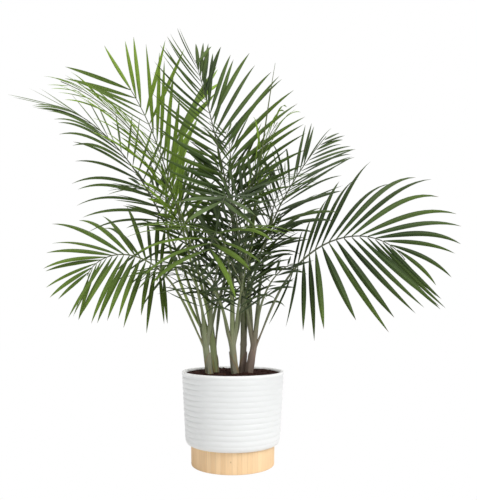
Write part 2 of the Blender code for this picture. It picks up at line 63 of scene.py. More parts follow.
# ---- measures of the frame
SHELL_LOW, SHELL_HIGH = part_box("planter_body")
_, TIMBER_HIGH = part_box("wooden_base")
SOIL_LOW, SOIL_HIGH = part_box("soil")
RIM_RADIUS, RIM_HEIGHT = SHELL_HIGH.x, SHELL_HIGH.z
SOIL_HEIGHT = SOIL_HIGH.z
PEAT_TOP = SOIL_HEIGHT + 0.0035  # loose crumbs heap up a little above the packed soil
CROWN_HEIGHT = 0.46  # the leaves are densest round here, and painted shade darkens them most
PAINTED_SHADE_FULL_REACH, PAINTED_SHADE_END_REACH = 0.12, 0.35  # how far from there the painted shade is full, and where it ends
PAINTED_SHADE_KEPT = 0.38  # the share of their colour that the leaves keep under the full painted shade

# ---- how the plant grew
GAP = 0.0003  # left between neighbours, and how near two corners are the same
PETIOLE_RADIUS = 0.0034
RACHIS_TIP_RADIUS = 0.0008
SEAT_RADIUS = 0.0070  # circle that the petioles stand on, at a stem's top
LONGEST = 0.35  # where the longest leaflets are, as a share of the leafy part

# Each stem: where it leaves the soil, where its sheaths end, its radius at the soil,
# and how brown it is.
Stem = namedtuple("Stem", "foot top foot_radius brown")
STEMS = {
    "stem_left_front": Stem((-0.058, -0.018), (-0.068, -0.020, 0.290), 0.0090, 0.10),
    "stem_left_back": Stem((-0.044, 0.010), (-0.051, 0.012, 0.289), 0.0092, 0.05),
    "stem_middle": Stem((0.007, -0.018), (-0.001, -0.022, 0.291), 0.0095, 0.35),
    "stem_right_back": Stem((0.024, 0.010), (0.027, 0.012, 0.289), 0.0095, 0.75),
    "stem_right_front": Stem((0.040, -0.010), (0.053, -0.012, 0.290), 0.0090, 0.95),
}

# Each frond, in metres and degrees. heading is the compass direction it leaves in
# (0 is +X, 90 is +Y) and sweep how far that turns by the tip; rise is its first
# slope, bend how much slope it has lost at the tip, and late how near the tip the
# bend happens. bare is the share of length without leaflets. roll and twist turn
# the blade about the rachis. leaflet is the longest leaflet's length, and width its
# width as a share of a middling one's. right and left give each side's leaflet angle
# from the rachis at the first and the last pair, and curve how near the tip that
# changes. lift raises the leaflets from the blade's plane, fall pulls them down and
# droop bends their tips. edge turns a side's leaflets edge-on, ends gives the first
# and the last leaflet's share of the longest, and wild is how untidy the frond is.
# fresh is how fresh its green is, and pale how much bloom it has.
Frond = namedtuple(
    "Frond",
    "stem heading rise bend late sweep length bare roll twist pairs leaflet width "
    "right left lift fall droop edge curve ends wild fresh pale",
    defaults=(0,) * 14 + (1, 0, 0),
)
FRONDS = {
    "frond_right_arch": Frond(
        "stem_right_front", -31, 68, 126, 2.1, 33, 0.53, 0.38, -5, -74, 17, 0.315, 1.10,
        (126, -5), (55, 8), 3, -0.06, (-4, 32), (0, 0), 1.3, (0.57, 0.21), 0.6, 0.03),
    "frond_left_arch": Frond(
        "stem_left_front", 190, 67, 138, 2.5, -2, 0.43, 0.46, 28, 24, 16, 0.232, 0.95,
        (65, 40), (125, 20), 10, 0.22, (26, 20), (0, 0), 0.95, (0.60, 0.42), 1, 0.29),
    "frond_top": Frond(
        "stem_right_back", 182, 101, 30, 0.4, -44, 0.82, 0.42, 87, -92, 23, 0.301, 0.95,
        (50, 12), (52, 50), 37, 0.63, (15, -10), (0, 0), 0.48, (0.61, 0.41), 0.35, 0.08),
    "frond_top_left": Frond(
        "stem_left_back", 159, 75, 19, 3.8, 17, 0.76, 0.40, 72, -56, 16, 0.246, 0.95,
        (27, 28), (37, 14), 70, 0.88, (-4, 8), (0, 0), 0.84, (0.30, 0.70), 0.15, 0.70),
    "frond_far_left": Frond(
        "stem_left_front", 120, 66, 74, 4.4, 115, 0.80, 0.29, -95, -67, 23, 0.235, 0.58,
        (139, 8), (40, 52), -18, 0.30, (30, 1), (40, 0), 0.35, (0.68, 0.53), 0.6, 0.25, 0.05),
    "frond_right": Frond(
        "stem_right_back", -9, 93, 43, 0.76, 19, 0.61, 0.34, -14, -60, 22, 0.195, 0.85,
        (45, 10), (55, 3), 11, 0.28, (17, 32), (10, 45), 1.7, (0.61, 0.20), 1.6, 0.12, 0.45),
    "frond_young_left": Frond(
        "stem_left_back", 205, 77, 70, 2.3, 11, 0.78, 0.36, 140, -36, 16, 0.202, 0.55,
        (24, 20), (22, 27), 74, 0.14, (21, 18), (0, 0), 1, (0.79, 0.24), 1, 0.80),
    "frond_young_right": Frond(
        "stem_right_back", 42, 90, 33, 2.6, -33, 0.62, 0.32, -65, -16, 15, 0.140, 0.70,
        (22, 22), (22, 30), 70, 0.15, (34, 40), (0, 0), 1, (0.62, 0.53), 1, 0.66),
    "frond_young_top": Frond(
        "stem_left_back", 155, 57, -88, 1.3, 108, 0.86, 0.36, 11, 19, 17, 0.195, 0.75,
        (34, 16), (28, 5), 60, -0.20, (-6, -10), (0, 0), 1, (0.62, 0.90), 0.5, 1.00),
    "frond_front": Frond(
        "stem_middle", 258, 90, 154, 1.8, 3, 0.46, 0.72, 1, 2, 7, 0.196, 0.90,
        (85, 34), (84, 19), 1, -0.30, (39, 36), (0, 0), 1, (0.62, 0.75), 1, 0.34),
    "frond_front_low": Frond(
        "stem_middle", 216, 80, 120, 1.8, 0, 0.34, 0.66, 0, 0, 8, 0.100, 0.75,
        (75, 25), (85, 25), 5, 0.0, (25, 25), (0, 0), 1, (0.80, 0.80), 1.8, 0.25, 0.25),
    "frond_front_high": Frond(
        "stem_right_back", 262, 92, 130, 1.6, 0, 0.56, 0.74, 5, 0, 6, 0.130, 1.15,
        (85, 30), (75, 30), 10, 0.05, (20, 20), (0, 0), 1, (0.85, 0.80), 1.4, 0.10, 0.40),
    "frond_low_right": Frond(
        "stem_right_front", 300, 80, 70, 1.6, 10, 0.26, 0.36, 20, 0, 7, 0.090, 0.45,
        (65, 25), (65, 25), 5, 0.06, (22, 22), (30, 30), 1, (0.80, 0.60), 3.2, 0.10, 0.05),
    "frond_low_left": Frond(
        "stem_left_front", 258, 80, 90, 1.6, -10, 0.28, 0.34, -10, 0, 10, 0.110, 0.50,
        (70, 28), (70, 28), 5, 0.06, (24, 24), (25, 25), 1, (0.90, 0.60), 3.2, 0.20),
    "frond_inner_left": Frond(
        "stem_left_front", 325, 84, 38, 2.0, 15, 0.46, 0.30, 50, -10, 16, 0.125, 0.60,
        (56, 28), (54, 26), 5, 0.05, (22, 22), (20, -10), 1, (0.75, 0.55), 2.6, 0.08),
    "frond_inner_right": Frond(
        "stem_right_front", 148, 88, 34, 2.0, 0, 0.50, 0.30, 58, 10, 16, 0.160, 0.60,
        (55, 26), (55, 26), 5, 0.05, (22, 22), (-10, 20), 1, (0.75, 0.55), 2.6, 0.07),
    "frond_back_right": Frond(
        "stem_right_front", 62, 80, 56, 1.6, 10, 0.64, 0.40, -25, -10, 16, 0.165, 0.60,
        (58, 22), (58, 22), 30, 0.10, (16, 16), (0, 0), 1, (0.70, 0.45), 1.8, 0.08),
    "frond_back": Frond(
        "stem_middle", 88, 86, 50, 1.8, 10, 0.72, 0.36, 5, 10, 21, 0.190, 0.75,
        (52, 20), (52, 20), 18, 0.08, (16, 16), (0, 0), 1, (0.70, 0.45), 1.8, 0.04),
    "frond_back_left": Frond(
        "stem_left_back", 132, 78, 66, 1.8, 10, 0.62, 0.36, 30, 10, 17, 0.190, 0.75,
        (58, 24), (58, 24), 26, 0.10, (16, 16), (0, 0), 1, (0.70, 0.45), 1.8, 0.08),
    "frond_back_low": Frond(
        "stem_left_back", 72, 78, 84, 1.8, -20, 0.48, 0.36, -15, -10, 14, 0.170, 0.70,
        (60, 26), (60, 26), 25, 0.10, (18, 18), (0, 0), 1, (0.75, 0.50), 2.2, 0.04),
    "frond_nest_front": Frond(
        "stem_middle", 300, 82, 55, 1.5, -20, 0.27, 0.26, 25, 0, 11, 0.100, 0.42,
        (60, 30), (60, 30), 5, 0.03, (26, 26), (20, 10), 1, (0.85, 0.65), 3.4, 0.20),
    "frond_nest_middle": Frond(
        "stem_middle", 180, 80, 40, 1.6, 20, 0.32, 0.26, 80, 10, 12, 0.115, 0.45,
        (55, 28), (55, 28), 5, 0.03, (24, 24), (10, 20), 1, (0.85, 0.60), 3.4, 0.12),
    "frond_nest_right": Frond(
        "stem_right_front", 225, 82, 50, 1.6, -20, 0.33, 0.26, -40, 0, 9, 0.100, 0.45,
        (60, 28), (60, 28), 5, 0.03, (26, 26), (20, 10), 1, (0.85, 0.60), 3.4, 0.12),
    "frond_nest_left": Frond(
        "stem_left_front", 15, 80, 45, 1.6, 20, 0.34, 0.26, -70, 0, 12, 0.115, 0.45,
        (58, 28), (58, 28), 5, 0.03, (26, 26), (10, 20), 1, (0.85, 0.60), 3.4, 0.12),
    "frond_nest_back": Frond(
        "stem_middle", 25, 80, 46, 1.6, 30, 0.38, 0.28, -50, 0, 13, 0.125, 0.50,
        (55, 26), (55, 26), 6, 0.03, (22, 22), (0, 0), 1, (0.85, 0.55), 3.0, 0.04),
}

# The unopened leaf has a line as a frond has, and no leaflets.
SPEAR = Frond("stem_right_back", 10, 86, 6, 1.2, 0, 0.78)

# How far each leaflet strays from the rule, in degrees, degrees, and shares of its
# droop and its length, and the tries for one whose place was taken: turned in the
# blade, lifted, and shortened.
STRAY = (5, 9, 0.45, 0.08)
TRIES = [(0, 0, 1.0), (5, 0, 1.0), (-5, 0, 1.0), (0, 9, 1.0), (0, -9, 1.0), (8, 9, 0.9),
         (-8, -9, 0.9), (8, -12, 0.85), (-8, 12, 0.85), (0, 18, 0.9), (0, -18, 0.9),
         (4, 32, 0.9), (4, -32, 0.9), (6, 50, 0.85), (6, -50, 0.85), (12, 0, 0.65),
         (-12, 0, 0.65), (0, 0, 0.45)]

BLADE_ROWS = 14  # stations along a leaflet
WIDEST = 0.44  # where a leaflet is widest, as a share of its length
STRIP = 6  # steps across one face of a stalk
SHEATH_ROWS = 9  # stations along the part of a sheath that wraps its stem
ROUND_SIDES = 160  # facets round the planter and its foot
HUB_RADIUS = 0.02  # a turned piece ends in a flat disc of this size


# ---- settings
def tint(name, description, default):
    """A colour that a user may change."""
    return bpy.props.FloatVectorProperty(
        name=name, description=description, subtype="COLOR", size=3, default=default,
        min=0, max=1)


def amount(name, description, default, **kind):
    """A length, an angle or a strength that a user may change."""
    return bpy.props.FloatProperty(name=name, description=description, default=default, **kind)


class PlanterSettings(bpy.types.PropertyGroup):
    ribs: bpy.props.IntProperty(
        name="Ribs", description="Soft ribs round the wall", default=12, min=2)
    rib_depth: amount("Rib depth", "How deep the creases are", 0.0015, unit="LENGTH")
    glaze: tint("Glaze", "Colour of the shell", (0.79, 0.80, 0.80))
    timber: tint("Timber", "Middle colour of the staves", (0.89, 0.635, 0.372))
    peat: tint("Soil", "Middle colour of the soil", (0.030, 0.011, 0.008))


class LeafSettings(bpy.types.PropertyGroup):
    width: amount("Leaflet width", "Width of a middling leaflet", 0.0143, unit="LENGTH")
    fold: amount(
        "Fold", "How far each half of a leaflet hangs from its rib", radians(19), subtype="ANGLE")
    deep: tint("Deep green", "Darkest grown leaflets", (0.015, 0.031, 0.006))
    grown: tint("Grown green", "Lightest grown leaflets", (0.050, 0.086, 0.025))
    young: tint("Young green", "Newly opened leaflets", (0.345, 0.540, 0.066))
    glaucous: tint("Pale green", "Bloom on undersides", (0.130, 0.165, 0.110))


class StageSettings(bpy.types.PropertyGroup):
    lens: amount("Lens", "Focal length in millimetres", 39.1)
    pitch: amount("Pitch", "How far the camera looks up", radians(6.8), subtype="ANGLE")
    key: amount("Key light", "Strength of the light from the right", 2.05)
    sky: amount("Surrounding light", "Strength of the light from all round", 0.37)
    floor: amount("Floor", "How much light the floor gives back", 0.88)


# ---- shader nodes
def maths(operation, swapped=False):
    """A method that adds a Math node to a wire, with its two values swapped or not."""
    def add(self, *others):
        values = (*others, self) if swapped else (self, *others)
        return self.paint.node("ShaderNodeMath", dict(enumerate(values)), operation=operation)
    return add


class Wire:
    """A node's output that Python's operators work on."""

    def __init__(self, paint, socket):
        self.paint, self.socket = paint, socket

    __add__ = __radd__ = maths("ADD")
    __sub__, __rsub__ = maths("SUBTRACT"), maths("SUBTRACT", swapped=True)
    __mul__ = __rmul__ = maths("MULTIPLY")
    __mod__ = maths("FLOORED_MODULO")
    __pow__ = maths("POWER")
    __gt__ = maths("GREATER_THAN")
    __abs__ = maths("ABSOLUTE")


class Paint:
    """A material under construction round its Principled shader."""

    def __init__(self, name, **constants):
        self.material = bpy.data.materials.new(name)
        self.material.use_nodes = True
        self.tree = self.material.node_tree
        self.shader = self.tree.nodes["Principled BSDF"]
        self.feed(**constants)

    def feed(self, **values):
        """Sets or links the shader's own sockets, named with _ for a space."""
        for socket, value in values.items():
            self.put(self.shader.inputs[socket.replace("_", " ")], value)

    def put(self, socket, value):
        if isinstance(value, Wire):
            self.tree.links.new(value.socket, socket)
        elif socket.type == "RGBA":
            socket.default_value = (*value, 1)
        else:
            socket.default_value = value

    def node(self, kind, values=(), output=0, **settings):
        """Any node: its settings first, then its sockets."""
        made = self.tree.nodes.new(kind)
        for key, value in settings.items():
            setattr(made, key, value)
        for key, value in dict(values).items():
            self.put(made.inputs[key], value)
        return Wire(self, made.outputs[output])

    def place(self):
        return self.node("ShaderNodeTexCoord", output="Object")

    def strip(self):
        """How far across and along a strip, and how near either edge of that face."""
        across, along, _ = self.parts(self.node("ShaderNodeUVMap", uv_map="strip"))
        return across, along, abs((across % 1.0) - 0.5) * 2.0

    def traits(self):
        """The three numbers that a tube was given."""
        return self.parts(self.node("ShaderNodeAttribute", output="Vector", attribute_name="traits"))

    def parts(self, vector):
        """The three numbers of a vector."""
        made = self.node("ShaderNodeSeparateXYZ", {0: vector})
        return [Wire(self, made.socket.node.outputs[k]) for k in range(3)]

    def join(self, x, y, z):
        return self.node("ShaderNodeCombineXYZ", {0: x, 1: y, 2: z})

    def stretch(self, vector, x, y, z):
        return self.node("ShaderNodeMapping", {"Vector": vector, "Scale": (x, y, z)})

    def noise(self, vector, scale, detail=3.0, roughness=0.5):
        return self.node("ShaderNodeTexNoise", {"Vector": vector, "Scale": scale, "Detail": detail,
                                                "Roughness": roughness})

    def span(self, value, low, high, to_low=0.0, to_high=1.0):
        """to_low up to to_high as the value goes from low to high, with soft ends."""
        return self.node("ShaderNodeMapRange", {0: value, 1: low, 2: high, 3: to_low, 4: to_high},
                         interpolation_type="SMOOTHSTEP")

    def mix(self, share, a, b):
        return self.node("ShaderNodeMix", {0: share, 6: a, 7: b}, output=2, data_type="RGBA")

    def scaled(self, color, factor):
        """The colour times a number."""
        return self.node("ShaderNodeVectorMath", {0: color, "Scale": factor}, operation="SCALE")

    def bump(self, height, distance):
        return self.node("ShaderNodeBump", {"Height": height, "Distance": distance, "Strength": 1.0})


# ---- meshes
class Skin:
    """Gathers closed tubes, each a grid of points, into one mesh."""

    def __init__(self):
        self.points, self.corners, self.totals = [], [], []
        self.uv, self.traits, self.slots = [], [], []
        self.count = 0

    def tubes(self, points, uv=None, traits=None, slot=0):
        """Adds tubes whose points have the shape (copies, rows, ring, 3), each closed by
        a cap at both ends. uv has the shape (copies, rows, ring + 1, 2), so that it can
        run on past the seam, and traits (copies, rows, ring, 3), or one that spreads to it."""
        copies, rows, ring, _ = points.shape
        row, here = np.meshgrid(np.arange(rows - 1), np.arange(ring), indexing="ij")
        steps = [(0, 0), (0, 1), (1, 1), (1, 0)]
        quads = np.stack([(row + r) * ring + (here + h) % ring for r, h in steps], -1).reshape(-1, 4)
        caps = np.stack([np.arange(ring)[::-1], (rows - 1) * ring + np.arange(ring)])
        base = self.count + (np.arange(copies) * rows * ring)[:, None, None]
        first = points[0]
        flat = first.reshape(-1, 3) - first.mean(axis=(0, 1))
        a, b, c, d = (flat[quads[:, k]] for k in range(4))
        inward = np.sum(np.cross(a, b) * c + np.cross(a, c) * d) < 0
        order = slice(None, None, -1) if inward else slice(None)
        if uv is None:
            uv = np.zeros((1, rows, ring + 1, 2))
        uv = np.broadcast_to(uv, (copies, rows, ring + 1, 2))
        sides = np.stack([uv[:, row + r, here + h] for r, h in steps], -2).reshape(copies, -1, 4, 2)
        ends = np.stack([uv[:, 0, :ring][:, ::-1], uv[:, -1, :ring]], 1)
        for faces, layer in ((quads, sides), (caps, ends)):
            self.corners.append((base + faces[:, order]).ravel())
            self.totals.append(np.full(copies * len(faces), faces.shape[1]))
            self.uv.append(layer[:, :, order].reshape(-1, 2))
            self.slots.append(np.full(copies * len(faces), slot))
        self.points.append(points.reshape(-1, 3))
        if traits is None:
            traits = np.zeros(3)
        self.traits.append(np.broadcast_to(traits, points.shape).reshape(-1, 3))
        self.count += copies * rows * ring

    def mesh(self, name, sharp):
        """The mesh, smooth except where faces meet at more than the angle sharp."""
        made = bpy.data.meshes.new(name)
        points, corners, totals = map(np.concatenate, (self.points, self.corners, self.totals))
        made.vertices.add(len(points))
        made.vertices.foreach_set("co", points.astype(np.float32).ravel())
        made.loops.add(len(corners))
        made.loops.foreach_set("vertex_index", corners.astype(np.int32))
        made.polygons.add(len(totals))
        made.polygons.foreach_set("loop_start", (np.cumsum(totals) - totals).astype(np.int32))
        made.polygons.foreach_set("material_index", np.concatenate(self.slots).astype(np.int32))
        made.update(calc_edges=True)
        made.uv_layers.new(name="strip").uv.foreach_set(
            "vector", np.concatenate(self.uv).astype(np.float32).ravel())
        kept = made.attributes.new("traits", "FLOAT_VECTOR", "POINT")
        kept.data.foreach_set("vector", np.concatenate(self.traits).astype(np.float32).ravel())
        made.shade_smooth()
        made.set_sharp_from_angle(angle=sharp)
        return made


def add_object(name, data):
    """A new object in the scene."""
    made = bpy.data.objects.new(name, data)
    bpy.context.scene.collection.objects.link(made)
    return made


def add_piece(name, skin, sharp, finishes, node):
    """One finished piece, smooth except where its faces meet at more than sharp degrees.
    It stands for a node of the frame."""
    made = add_object(name, skin.mesh(name, radians(sharp)))
    for finish in finishes:
        made.data.materials.append(finish)
    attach(made, "root")
    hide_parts(node)


def unit(vectors):
    """The vectors at length 1."""
    return vectors / np.linalg.norm(vectors, axis=-1, keepdims=True)


def smooth(value):
    """0 up to 1 with soft ends, as the value goes from 0 to 1."""
    held = np.clip(value, 0, 1)
    return held * held * (3 - 2 * held)


def swung(one, two, angle):
    """Two vectors square to each other, both turned by an angle in their own plane."""
    return one * np.cos(angle) + two * np.sin(angle), two * np.cos(angle) - one * np.sin(angle)


def turned(profile, sides):
    """A tube about Z through (radius, height) rows: the point at an angle a and a row
    is (radius cos a, radius sin a, height)."""
    radius, height = np.asarray(profile, float).T
    angle = np.arange(sides) * 2 * pi / sides
    x, y = np.outer(radius, np.cos(angle)), np.outer(radius, np.sin(angle))
    return np.stack([x, y, np.broadcast_to(height[:, None], x.shape)], -1)[None]


def arc(middle, radius, start, stop, steps):
    """Rows on a circle in the (radius, height) plane, from one angle to another."""
    angle = np.radians(np.linspace(start, stop, steps))
    return np.stack([middle[0] + radius * np.cos(angle), middle[1] + radius * np.sin(angle)], 1)


# ---- planter
SHELL_FOOT_RADIUS = 0.1172
SHELL_EDGE = 0.012
SHELL_WALL = 0.007
SHELL_FLOOR = 0.008
RIM_WIDTH = 0.0105
RIM_ROUND = 0.0022
LIP_ROUND = 0.0055  # the rim's inner edge
RIB_TOP_BAND = 0.0105
RIB_FOOT_BAND = 0.0140
RIB_ROWS = 14  # stations up one rib
INNER_CORNER = 0.004  # cut where the inner wall meets the floor
# Painted light: the glaze is painted whiter on the lip, to brighten the rim where the crown shades
# it.
LIP_PAINTED_LIGHT = (0.96, 0.96, 0.95)
LIP_LIGHT_FADE = (0.0075, 0.0015)  # how far below the rim the painted light begins, and is full


def shell_radius(height):
    """The planter's outer radius, which grows straight from its foot to its rim."""
    share = (height - TIMBER_HIGH.z) / (RIM_HEIGHT - TIMBER_HIGH.z)
    return SHELL_FOOT_RADIUS + (RIM_RADIUS - SHELL_FOOT_RADIUS) * share


def inner_radius(height):
    """The inner radius: the rim's width at the top, a thinner wall below."""
    floor_top = SHELL_LOW.z + SHELL_FLOOR
    low = shell_radius(floor_top) - SHELL_WALL
    high = RIM_RADIUS - RIM_WIDTH
    return low + (high - low) * (height - floor_top) / (RIM_HEIGHT - floor_top)


def planter_rows(ribs, depth):
    """The planter's section. The wall swells between its creases as a sine to the power
    0.7, so that each crease is a soft line and each rib a low round."""
    low = SHELL_LOW.z
    first, last = TIMBER_HIGH.z + RIB_FOOT_BAND, RIM_HEIGHT - RIB_TOP_BAND
    height = np.linspace(low + SHELL_EDGE, RIM_HEIGHT - RIM_ROUND, RIB_ROWS * ribs)
    place = np.clip((height - first) / (last - first) * ribs, -0.5, ribs + 0.5)
    swell = np.abs(np.sin(pi * place)) ** 0.7
    wall = np.stack([shell_radius(height) - depth * (1 - swell), height], 1)
    foot = arc((SHELL_FOOT_RADIUS - SHELL_EDGE, low + SHELL_EDGE), SHELL_EDGE, -90, -4, 9)
    outer = arc((RIM_RADIUS - RIM_ROUND, RIM_HEIGHT - RIM_ROUND), RIM_ROUND, 12, 90, 6)
    inner_edge = RIM_RADIUS - RIM_WIDTH
    inner = arc((inner_edge + LIP_ROUND, RIM_HEIGHT - LIP_ROUND), LIP_ROUND, 90, 180, 9)
    floor_top = low + SHELL_FLOOR
    down = np.linspace(RIM_HEIGHT - 1.2 * LIP_ROUND, floor_top + INNER_CORNER, 24)
    inside = np.stack([inner_radius(down), down], 1)
    floor = [(inner_radius(floor_top) - INNER_CORNER, floor_top), (HUB_RADIUS, floor_top)]
    return np.vstack([[(HUB_RADIUS, low)], foot, wall, outer, inner, inside, floor])


def glaze_finish(look):
    """White satin glaze: faintly cloudy, with fine orange peel, and painted light that whitens the
    lip.
    """
    paint = Paint("satin_glaze", Coat_Roughness=0.25, Coat_Weight=0.12)
    place = paint.place()
    cloud = paint.noise(place, 14.0, 4.0)
    # Painted light: the colour turns whiter up to the rim.
    lip_light = paint.span(paint.parts(place)[2], *(RIM_HEIGHT - drop for drop in LIP_LIGHT_FADE))
    color = paint.mix(lip_light, tuple(look.glaze), LIP_PAINTED_LIGHT)
    paint.feed(Base_Color=paint.scaled(color, 0.975 + 0.05 * cloud),
               Roughness=0.36 + 0.10 * paint.noise(place, 60.0, 3.0),
               Normal=paint.bump(paint.noise(place, 900.0, 2.0), 0.00006))
    return paint.material


class PALM_OT_planter(bpy.types.Operator):
    """Make the ribbed shell"""

    bl_idname = "palm.planter"
    bl_label = "Planter"

    def execute(self, context):
        look = context.scene.palm_planter
        skin = Skin()
        skin.tubes(turned(planter_rows(look.ribs, look.rib_depth), ROUND_SIDES))
        add_piece("planter_shell", skin, 50, [glaze_finish(look)], "planter_body")
        return {"FINISHED"}


# ---- timber foot
TIMBER_FLOOR = 0.014
TIMBER_WALL = 0.012
TIMBER_ROUND = 0.0022
TIMBER_TAPER = 0.0012  # the foot is this much slimmer at the bottom
STAVES = 52
KNOTS = ((-92, 0.029, 0.0010), (40, 0.035, 0.0012), (152, 0.021, 0.0010))  # degrees, height, size
KNOT_BROWN, JOINT_BROWN = (0.26, 0.14, 0.07), (0.30, 0.18, 0.09)


def timber_finish(look):
    """Glued staves: each has its own tone, a fine upright grain and a thin joint to the
    next, and a few pin knots."""
    paint = Paint("pale_staves")
    place = paint.place()
    x, y, _ = paint.parts(place)
    angle = paint.node("ShaderNodeMath", {0: y, 1: x}, operation="ARCTAN2")
    cells = {"W": angle * (STAVES / (2 * pi)), "Scale": 1.0, "Randomness": 0.75}
    stave = paint.node("ShaderNodeTexVoronoi", cells, output="Color", voronoi_dimensions="1D")
    tone = paint.parts(stave)[0]
    joint = paint.node("ShaderNodeTexVoronoi", cells, voronoi_dimensions="1D",
                       feature="DISTANCE_TO_EDGE")
    grain = paint.noise(paint.stretch(place, 520.0, 520.0, 14.0), 1.0, 4.0, 0.6)
    figure = paint.noise(paint.stretch(place, 90.0, 90.0, 9.0), 1.0, 2.0)
    base = tuple(look.timber)
    light = tuple(min(1.0, c * f) for c, f in zip(base, (1.05, 1.07, 1.10)))
    deep = tuple(c * f for c, f in zip(base, (0.95, 0.91, 0.86)))
    color = paint.mix(tone, deep, light)
    color = paint.mix(paint.span(figure, 0.35, 0.70) * 0.45, color, base)
    color = paint.scaled(color, 0.86 + 0.28 * grain)
    for degrees, height, size in KNOTS:
        turn = radians(degrees)
        spot = (TIMBER_HIGH.x * cos(turn), TIMBER_HIGH.x * sin(turn), 0.7 * height)
        near = paint.node("ShaderNodeVectorMath", {0: paint.stretch(place, 1, 1, 0.7), 1: spot},
                          output="Value", operation="DISTANCE")
        color = paint.mix(paint.span(near, 2.2 * size, 0.6 * size, 0.0, 0.55), color, KNOT_BROWN)
    color = paint.mix(paint.span(joint, 0.035, 0.0, 0.0, 0.35), color, JOINT_BROWN)
    paint.feed(Base_Color=color, Roughness=0.50 + 0.2 * grain,
               Normal=paint.bump(grain + 2.0 * paint.span(joint, 0.0, 0.04), 0.00012))
    return paint.material


class PALM_OT_timber(bpy.types.Operator):
    """Make the round timber foot"""

    bl_idname = "palm.timber"
    bl_label = "Timber foot"

    def execute(self, context):
        top, radius = TIMBER_HIGH.z, TIMBER_HIGH.x
        foot = radius - TIMBER_TAPER
        inner = radius - TIMBER_WALL
        height = np.linspace(TIMBER_ROUND, top - TIMBER_ROUND, 10)
        wall = np.stack([foot + (radius - foot) * height / top, height], 1)
        rows = np.vstack([
            [(HUB_RADIUS, 0.0)],
            arc((foot - TIMBER_ROUND, TIMBER_ROUND), TIMBER_ROUND, -90, -6, 6), wall,
            arc((radius - TIMBER_ROUND, top - TIMBER_ROUND), TIMBER_ROUND, 6, 90, 6),
            [(inner, top), (inner, TIMBER_FLOOR), (HUB_RADIUS, TIMBER_FLOOR)]])
        skin = Skin()
        skin.tubes(turned(rows, ROUND_SIDES))
        add_piece("timber_foot", skin, 50, [timber_finish(context.scene.palm_planter)],
                  "wooden_base")
        return {"FINISHED"}


# ---- soil
SOIL_SIDES = 132
SOIL_LEVEL = PEAT_TOP - 0.0012  # the lumps rise and fall about this
LUMP_WAVES, LUMP_COARSE, LUMP_FINER = 18, 90, 1.17  # how many, radians a metre, and the factor
LUMP_HEIGHT = 0.0030
CHIPS, CHIP_SIDES = 340, 7
LOAM_BROWN, BARK_BROWN = (0.075, 0.030, 0.020), (0.120, 0.060, 0.038)


def lumps(x, y):
    """Height of the soil's lumps: the sum of sine ridges in seeded directions, each finer
    than the last by the same factor, and as much lower."""
    chance = Random("soil lumps")
    total = np.zeros_like(x)
    for k in range(LUMP_WAVES):
        wave = LUMP_COARSE * LUMP_FINER**k
        turn, phase = chance.uniform(0, 2 * pi), chance.uniform(0, 2 * pi)
        total += np.sin(wave * (x * cos(turn) + y * sin(turn)) + phase) * 30 / wave
    return LUMP_HEIGHT * total


def soil_grid():
    """The plug of soil: rings out over its lumpy top, which calms towards the wall, then
    down its side."""
    edge = inner_radius(PEAT_TOP) - GAP
    radius = np.linspace(0.0015, edge - 0.0008, 52)
    angle = np.arange(SOIL_SIDES) * 2 * pi / SOIL_SIDES
    x, y = np.outer(radius, np.cos(angle)), np.outer(radius, np.sin(angle))
    calm = smooth((edge - radius) / 0.012)[:, None]
    top = np.stack([x, y, SOIL_LEVEL + calm * lumps(x, y)], -1)
    side = turned([(edge - 0.0002, PEAT_TOP - 0.0030), (inner_radius(SOIL_LOW.z) - GAP, SOIL_LOW.z),
                   (HUB_RADIUS, SOIL_LOW.z)], SOIL_SIDES)[0]
    return np.concatenate([top, side])[None]


def chip_grids():
    """Bits of bark and peat that lie about on the soil: squashed rounds, each stretched
    and turned by its own seeded numbers. A round's point at a height t from -1 to 1 is
    sqrt(1 - t*t) out from its axis."""
    chance = np.random.default_rng(7)
    spread = (inner_radius(SOIL_HEIGHT) - 0.008) * np.sqrt(chance.uniform(0.0, 1, CHIPS))
    turn = chance.uniform(0, 2 * pi, CHIPS)
    x, y = spread * np.cos(turn), spread * np.sin(turn)
    z = SOIL_LEVEL + lumps(x, y)
    t = np.array([-0.96, -0.5, 0.1, 0.62, 0.97])
    angle = np.arange(CHIP_SIDES) * 2 * pi / CHIP_SIDES
    rough = chance.uniform(-1, 1, (CHIPS, len(t), CHIP_SIDES))
    out = np.sqrt(1 - t * t)[:, None] * (1 + 0.28 * rough)
    rise = np.broadcast_to(t[:, None], out.shape)
    body = np.stack([out * np.cos(angle), out * np.sin(angle), rise], -1)
    size = np.stack([chance.uniform(0.0016, 0.0052, CHIPS), chance.uniform(0.0012, 0.0026, CHIPS),
                     chance.uniform(0.0007, 0.0016, CHIPS)], 1)
    body = body * size[:, None, None]
    yaw, tip = chance.uniform(0, 2 * pi, CHIPS), chance.normal(0, 0.30, CHIPS)
    for a, b, by in ((0, 2, tip), (0, 1, yaw)):
        c, s = np.cos(by)[:, None, None], np.sin(by)[:, None, None]
        one, two = body[..., a] * c - body[..., b] * s, body[..., a] * s + body[..., b] * c
        body[..., a], body[..., b] = one, two
    traits = np.zeros(body.shape)
    traits[..., 0] = chance.uniform(0, 1, CHIPS)[:, None, None]
    return body + np.stack([x, y, z + 0.0004], 1)[:, None, None], traits


def peat_finish(look):
    """Damp dark peat: crumbs of several browns, and paler bits of bark among them."""
    paint = Paint("dark_peat", Specular_IOR_Level=0.12)
    place = paint.place()
    tone, _, _ = paint.traits()
    crumb = paint.noise(place, 330.0, 5.0, 0.65)
    patch = paint.noise(place, 45.0, 3.0)
    base = tuple(look.peat)
    color = paint.mix(paint.span(crumb, 0.35, 0.7), tuple(c * 0.45 for c in base),
                      tuple(c * 1.9 for c in base))
    color = paint.mix(paint.span(patch, 0.5, 0.75) * 0.5, color, LOAM_BROWN)
    color = paint.mix(paint.span(tone, 0.55, 1.0) * 0.75, color, BARK_BROWN)
    paint.feed(Base_Color=color, Roughness=0.82 + 0.15 * crumb,
               Normal=paint.bump(crumb + 0.5 * paint.noise(place, 900.0, 3.0), 0.0012))
    return paint.material


